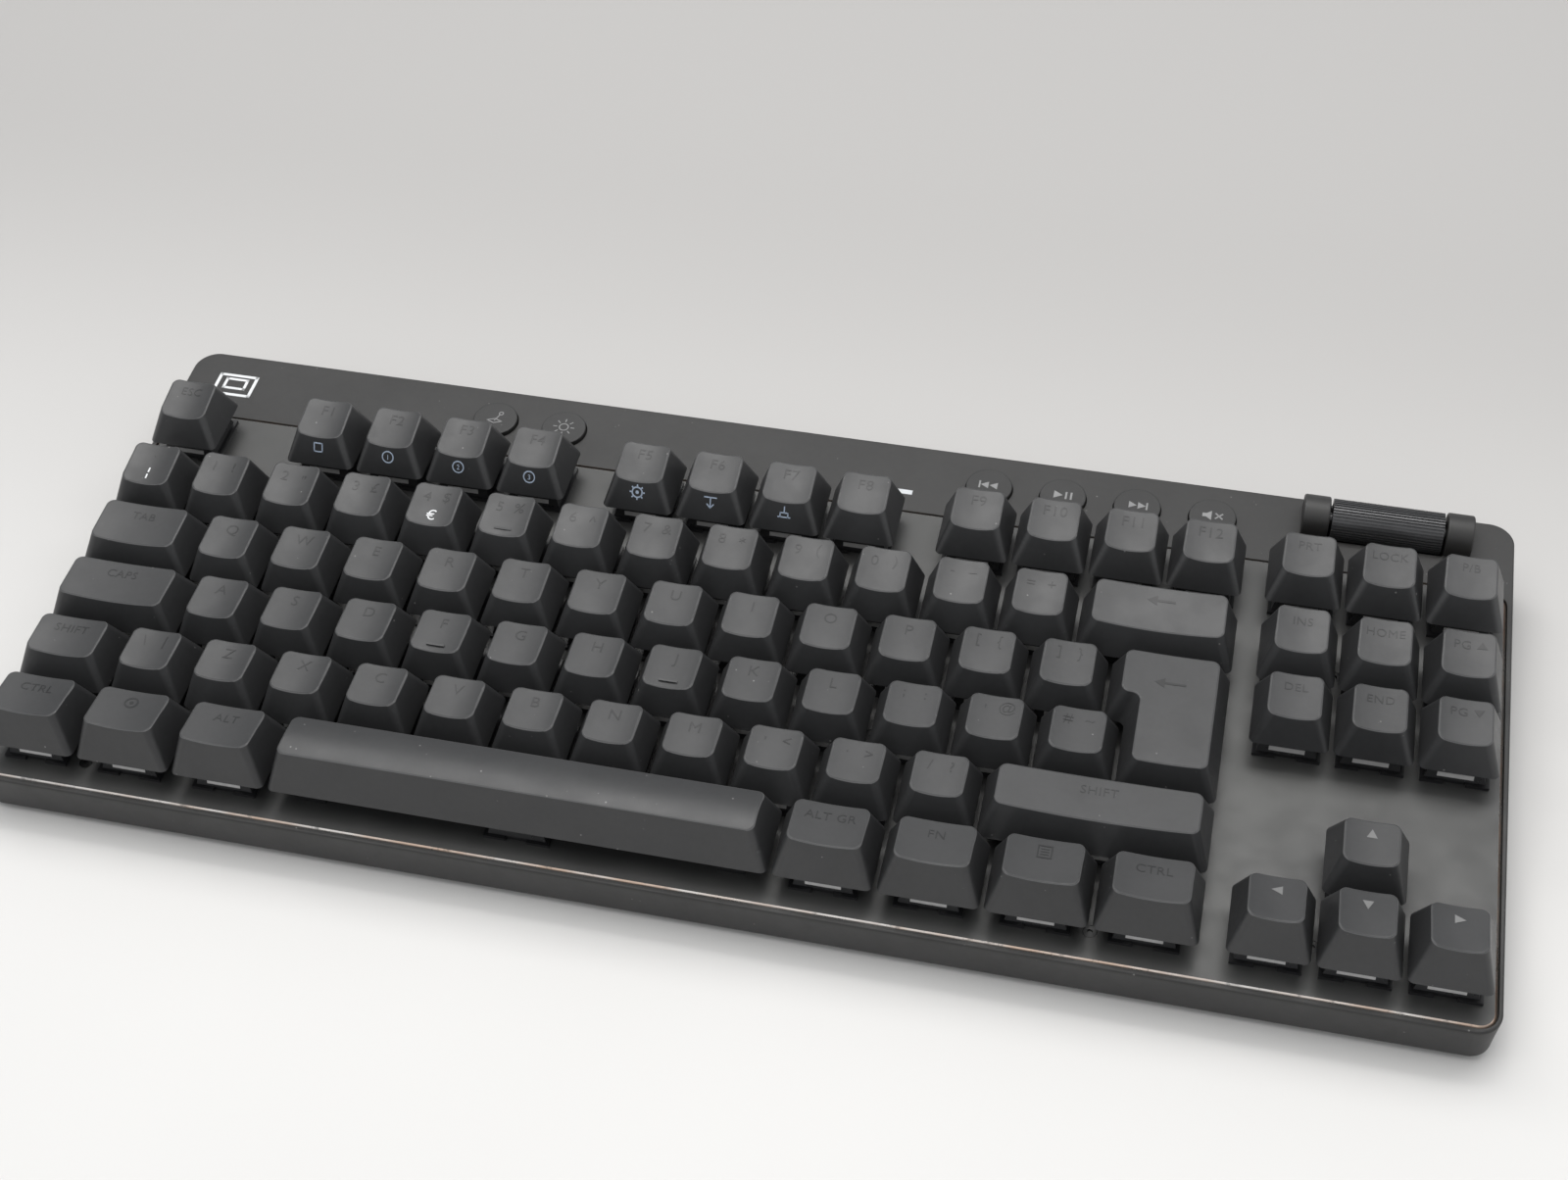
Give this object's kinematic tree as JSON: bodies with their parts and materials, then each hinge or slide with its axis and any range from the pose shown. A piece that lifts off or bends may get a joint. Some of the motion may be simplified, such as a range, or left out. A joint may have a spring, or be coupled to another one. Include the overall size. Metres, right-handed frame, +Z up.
{
  "type": "mechanical keyboard",
  "caption": "Compact mechanical keyboard without a number pad, with dished caps, a metal switch plate, media buttons and a knurled volume roller.",
  "frame": {"origin": "on the desk surface, at the centre of the bounding box's underside", "axes": "+X to the typist's right, +Y away from the typist, +Z up"},
  "size_m": [0.3538, 0.1478, 0.0341],
  "materials": {
    "keycap_plastic": "fine satin texture",
    "button_plastic": "smooth matte",
    "case_plastic": "fine spark texture",
    "frame_plastic": "fine spark texture",
    "plate_metal": "dark anodised with a bright cut edge",
    "board": "solder mask",
    "foam": "open-cell foam",
    "battery_wrap": "shrink wrap",
    "housing_black": "moulded",
    "housing_smoke": "smoke grey moulding",
    "rubber": "soft matte",
    "screw_steel": "zinc plated",
    "screw_black": "black oxide",
    "port_steel": "stamped",
    "lens": "frosted clear",
    "roller_metal": "dark anodised, knurled"
  },
  "bodies": {
    "case": {"bottom_case": "case_plastic", "top_frame": "frame_plastic", "switch_plate": "plate_metal", "circuit_board": "board", "damping_sheet": "foam", "battery_pack": "battery_wrap", "switch_bases": "housing_black", "switch_covers": "housing_smoke", "stabiliser_housings": "housing_black", "rubber_feet": "rubber", "case_screws": "screw_steel", "plate_screws": "screw_black", "roller_brackets": "frame_plastic", "roller_encoder": "housing_black", "charging_port": "port_steel", "indicator_lens": "lens", "button_boards": "board"},
    "roller": {"volume_roller": "roller_metal"},
    "game_mode_button": {"game_mode_button": "button_plastic"},
    "backlight_button": {"backlight_button": "button_plastic"},
    "previous_track_button": {"previous_track_button": "button_plastic"},
    "play_pause_button": {"play_pause_button": "button_plastic"},
    "next_track_button": {"next_track_button": "button_plastic"},
    "mute_button": {"mute_button": "button_plastic"},
    "power_switch": {"power_switch": "button_plastic"},
    "left_tilt_foot": {"left_tilt_foot": "case_plastic"},
    "right_tilt_foot": {"right_tilt_foot": "case_plastic"},
    "key_space": {"key_space": "keycap_plastic"},
    "key_enter": {"key_enter": "keycap_plastic"},
    "key_backspace": {"key_backspace": "keycap_plastic"},
    "key_left_shift": {"key_left_shift": "keycap_plastic"},
    "key_right_shift": {"key_right_shift": "keycap_plastic"},
    "key_escape": {"key_escape": "keycap_plastic"},
    "key_tab": {"key_tab": "keycap_plastic"},
    "key_caps_lock": {"key_caps_lock": "keycap_plastic"},
    "key_left_ctrl": {"key_left_ctrl": "keycap_plastic"},
    "key_super": {"key_super": "keycap_plastic"},
    "key_left_alt": {"key_left_alt": "keycap_plastic"},
    "key_alt_gr": {"key_alt_gr": "keycap_plastic"},
    "key_fn": {"key_fn": "keycap_plastic"},
    "key_menu": {"key_menu": "keycap_plastic"},
    "key_right_ctrl": {"key_right_ctrl": "keycap_plastic"},
    "key_up": {"key_up": "keycap_plastic"},
    "key_left": {"key_left": "keycap_plastic"},
    "key_down": {"key_down": "keycap_plastic"},
    "key_right": {"key_right": "keycap_plastic"},
    "keys_f1_to_f4": {"keys_f1_to_f4": "keycap_plastic"},
    "keys_f5_to_f8": {"keys_f5_to_f8": "keycap_plastic"},
    "keys_f9_to_f12": {"keys_f9_to_f12": "keycap_plastic"},
    "keys_print_to_pause": {"keys_print_to_pause": "keycap_plastic"},
    "keys_insert_to_page_up": {"keys_insert_to_page_up": "keycap_plastic"},
    "keys_delete_to_page_down": {"keys_delete_to_page_down": "keycap_plastic"},
    "keys_grave_to_5": {"keys_grave_to_5": "keycap_plastic"},
    "keys_6_to_equals": {"keys_6_to_equals": "keycap_plastic"},
    "keys_q_to_t": {"keys_q_to_t": "keycap_plastic"},
    "keys_y_to_bracket": {"keys_y_to_bracket": "keycap_plastic"},
    "keys_a_to_g": {"keys_a_to_g": "keycap_plastic"},
    "keys_h_to_hash": {"keys_h_to_hash": "keycap_plastic"},
    "keys_backslash_to_b": {"keys_backslash_to_b": "keycap_plastic"},
    "keys_n_to_slash": {"keys_n_to_slash": "keycap_plastic"}
  },
  "joints": [
    {"name": "volume_roller_spin", "type": "hinge", "parent": "case", "child": "roller", "pos_m": [0.14526, 0.06605, 0.02158], "axis": [1, 0, 0], "continuous": true},
    {"name": "game_mode_button_press", "type": "slide", "parent": "case", "child": "game_mode_button", "axis": [0, 0.0523, -0.9986], "range_m": [0, 0.0006], "stiffness_N_per_m": 2000, "springref_m": -0.0004},
    {"name": "backlight_button_press", "type": "slide", "parent": "case", "child": "backlight_button", "axis": [0, 0.0523, -0.9986], "range_m": [0, 0.0006], "stiffness_N_per_m": 2000, "springref_m": -0.0004},
    {"name": "previous_track_button_press", "type": "slide", "parent": "case", "child": "previous_track_button", "axis": [0, 0.0523, -0.9986], "range_m": [0, 0.0006], "stiffness_N_per_m": 2000, "springref_m": -0.0004},
    {"name": "play_pause_button_press", "type": "slide", "parent": "case", "child": "play_pause_button", "axis": [0, 0.0523, -0.9986], "range_m": [0, 0.0006], "stiffness_N_per_m": 2000, "springref_m": -0.0004},
    {"name": "next_track_button_press", "type": "slide", "parent": "case", "child": "next_track_button", "axis": [0, 0.0523, -0.9986], "range_m": [0, 0.0006], "stiffness_N_per_m": 2000, "springref_m": -0.0004},
    {"name": "mute_button_press", "type": "slide", "parent": "case", "child": "mute_button", "axis": [0, 0.0523, -0.9986], "range_m": [0, 0.0006], "stiffness_N_per_m": 2000, "springref_m": -0.0004},
    {"name": "power_switch_slide", "type": "slide", "parent": "case", "child": "power_switch", "axis": [1, 0, 0], "range_m": [0, 0.004]},
    {"name": "left_tilt_foot_hinge", "type": "hinge", "parent": "case", "child": "left_tilt_foot", "pos_m": [-0.132, 0.044, 0.0034], "axis": [-1, 0, 0], "range_deg": [0, 90]},
    {"name": "right_tilt_foot_hinge", "type": "hinge", "parent": "case", "child": "right_tilt_foot", "pos_m": [0.132, 0.044, 0.0034], "axis": [-1, 0, 0], "range_deg": [0, 90]},
    {"name": "key_space_press", "type": "slide", "parent": "case", "child": "key_space", "axis": [0, 0.0523, -0.9986], "range_m": [0, 0.004], "stiffness_N_per_m": 113.1, "springref_m": -0.0035},
    {"name": "key_enter_press", "type": "slide", "parent": "case", "child": "key_enter", "axis": [0, 0.0523, -0.9986], "range_m": [0, 0.004], "stiffness_N_per_m": 95.7, "springref_m": -0.0035},
    {"name": "key_backspace_press", "type": "slide", "parent": "case", "child": "key_backspace", "axis": [0, 0.0523, -0.9986], "range_m": [0, 0.004], "stiffness_N_per_m": 95.7, "springref_m": -0.0035},
    {"name": "key_left_shift_press", "type": "slide", "parent": "case", "child": "key_left_shift", "axis": [0, 0.0523, -0.9986], "range_m": [0, 0.004], "stiffness_N_per_m": 87, "springref_m": -0.0035},
    {"name": "key_right_shift_press", "type": "slide", "parent": "case", "child": "key_right_shift", "axis": [0, 0.0523, -0.9986], "range_m": [0, 0.004], "stiffness_N_per_m": 95.7, "springref_m": -0.0035},
    {"name": "key_escape_press", "type": "slide", "parent": "case", "child": "key_escape", "axis": [0, 0.0523, -0.9986], "range_m": [0, 0.004], "stiffness_N_per_m": 87, "springref_m": -0.0035},
    {"name": "key_tab_press", "type": "slide", "parent": "case", "child": "key_tab", "axis": [0, 0.0523, -0.9986], "range_m": [0, 0.004], "stiffness_N_per_m": 87, "springref_m": -0.0035},
    {"name": "key_caps_lock_press", "type": "slide", "parent": "case", "child": "key_caps_lock", "axis": [0, 0.0523, -0.9986], "range_m": [0, 0.004], "stiffness_N_per_m": 87, "springref_m": -0.0035},
    {"name": "key_left_ctrl_press", "type": "slide", "parent": "case", "child": "key_left_ctrl", "axis": [0, 0.0523, -0.9986], "range_m": [0, 0.004], "stiffness_N_per_m": 87, "springref_m": -0.0035},
    {"name": "key_super_press", "type": "slide", "parent": "case", "child": "key_super", "axis": [0, 0.0523, -0.9986], "range_m": [0, 0.004], "stiffness_N_per_m": 87, "springref_m": -0.0035},
    {"name": "key_left_alt_press", "type": "slide", "parent": "case", "child": "key_left_alt", "axis": [0, 0.0523, -0.9986], "range_m": [0, 0.004], "stiffness_N_per_m": 87, "springref_m": -0.0035},
    {"name": "key_alt_gr_press", "type": "slide", "parent": "case", "child": "key_alt_gr", "axis": [0, 0.0523, -0.9986], "range_m": [0, 0.004], "stiffness_N_per_m": 87, "springref_m": -0.0035},
    {"name": "key_fn_press", "type": "slide", "parent": "case", "child": "key_fn", "axis": [0, 0.0523, -0.9986], "range_m": [0, 0.004], "stiffness_N_per_m": 87, "springref_m": -0.0035},
    {"name": "key_menu_press", "type": "slide", "parent": "case", "child": "key_menu", "axis": [0, 0.0523, -0.9986], "range_m": [0, 0.004], "stiffness_N_per_m": 87, "springref_m": -0.0035},
    {"name": "key_right_ctrl_press", "type": "slide", "parent": "case", "child": "key_right_ctrl", "axis": [0, 0.0523, -0.9986], "range_m": [0, 0.004], "stiffness_N_per_m": 87, "springref_m": -0.0035},
    {"name": "key_up_press", "type": "slide", "parent": "case", "child": "key_up", "axis": [0, 0.0523, -0.9986], "range_m": [0, 0.004], "stiffness_N_per_m": 87, "springref_m": -0.0035},
    {"name": "key_left_press", "type": "slide", "parent": "case", "child": "key_left", "axis": [0, 0.0523, -0.9986], "range_m": [0, 0.004], "stiffness_N_per_m": 87, "springref_m": -0.0035},
    {"name": "key_down_press", "type": "slide", "parent": "case", "child": "key_down", "axis": [0, 0.0523, -0.9986], "range_m": [0, 0.004], "stiffness_N_per_m": 87, "springref_m": -0.0035},
    {"name": "key_right_press", "type": "slide", "parent": "case", "child": "key_right", "axis": [0, 0.0523, -0.9986], "range_m": [0, 0.004], "stiffness_N_per_m": 87, "springref_m": -0.0035},
    {"name": "keys_f1_to_f4_press", "type": "slide", "parent": "case", "child": "keys_f1_to_f4", "axis": [0, 0.0523, -0.9986], "range_m": [0, 0.004], "stiffness_N_per_m": 348, "springref_m": -0.0035},
    {"name": "keys_f5_to_f8_press", "type": "slide", "parent": "case", "child": "keys_f5_to_f8", "axis": [0, 0.0523, -0.9986], "range_m": [0, 0.004], "stiffness_N_per_m": 348, "springref_m": -0.0035},
    {"name": "keys_f9_to_f12_press", "type": "slide", "parent": "case", "child": "keys_f9_to_f12", "axis": [0, 0.0523, -0.9986], "range_m": [0, 0.004], "stiffness_N_per_m": 348, "springref_m": -0.0035},
    {"name": "keys_print_to_pause_press", "type": "slide", "parent": "case", "child": "keys_print_to_pause", "axis": [0, 0.0523, -0.9986], "range_m": [0, 0.004], "stiffness_N_per_m": 261, "springref_m": -0.0035},
    {"name": "keys_insert_to_page_up_press", "type": "slide", "parent": "case", "child": "keys_insert_to_page_up", "axis": [0, 0.0523, -0.9986], "range_m": [0, 0.004], "stiffness_N_per_m": 261, "springref_m": -0.0035},
    {"name": "keys_delete_to_page_down_press", "type": "slide", "parent": "case", "child": "keys_delete_to_page_down", "axis": [0, 0.0523, -0.9986], "range_m": [0, 0.004], "stiffness_N_per_m": 261, "springref_m": -0.0035},
    {"name": "keys_grave_to_5_press", "type": "slide", "parent": "case", "child": "keys_grave_to_5", "axis": [0, 0.0523, -0.9986], "range_m": [0, 0.004], "stiffness_N_per_m": 522, "springref_m": -0.0035},
    {"name": "keys_6_to_equals_press", "type": "slide", "parent": "case", "child": "keys_6_to_equals", "axis": [0, 0.0523, -0.9986], "range_m": [0, 0.004], "stiffness_N_per_m": 609, "springref_m": -0.0035},
    {"name": "keys_q_to_t_press", "type": "slide", "parent": "case", "child": "keys_q_to_t", "axis": [0, 0.0523, -0.9986], "range_m": [0, 0.004], "stiffness_N_per_m": 435, "springref_m": -0.0035},
    {"name": "keys_y_to_bracket_press", "type": "slide", "parent": "case", "child": "keys_y_to_bracket", "axis": [0, 0.0523, -0.9986], "range_m": [0, 0.004], "stiffness_N_per_m": 609, "springref_m": -0.0035},
    {"name": "keys_a_to_g_press", "type": "slide", "parent": "case", "child": "keys_a_to_g", "axis": [0, 0.0523, -0.9986], "range_m": [0, 0.004], "stiffness_N_per_m": 435, "springref_m": -0.0035},
    {"name": "keys_h_to_hash_press", "type": "slide", "parent": "case", "child": "keys_h_to_hash", "axis": [0, 0.0523, -0.9986], "range_m": [0, 0.004], "stiffness_N_per_m": 609, "springref_m": -0.0035},
    {"name": "keys_backslash_to_b_press", "type": "slide", "parent": "case", "child": "keys_backslash_to_b", "axis": [0, 0.0523, -0.9986], "range_m": [0, 0.004], "stiffness_N_per_m": 522, "springref_m": -0.0035},
    {"name": "keys_n_to_slash_press", "type": "slide", "parent": "case", "child": "keys_n_to_slash", "axis": [0, 0.0523, -0.9986], "range_m": [0, 0.004], "stiffness_N_per_m": 435, "springref_m": -0.0035}
  ]
}
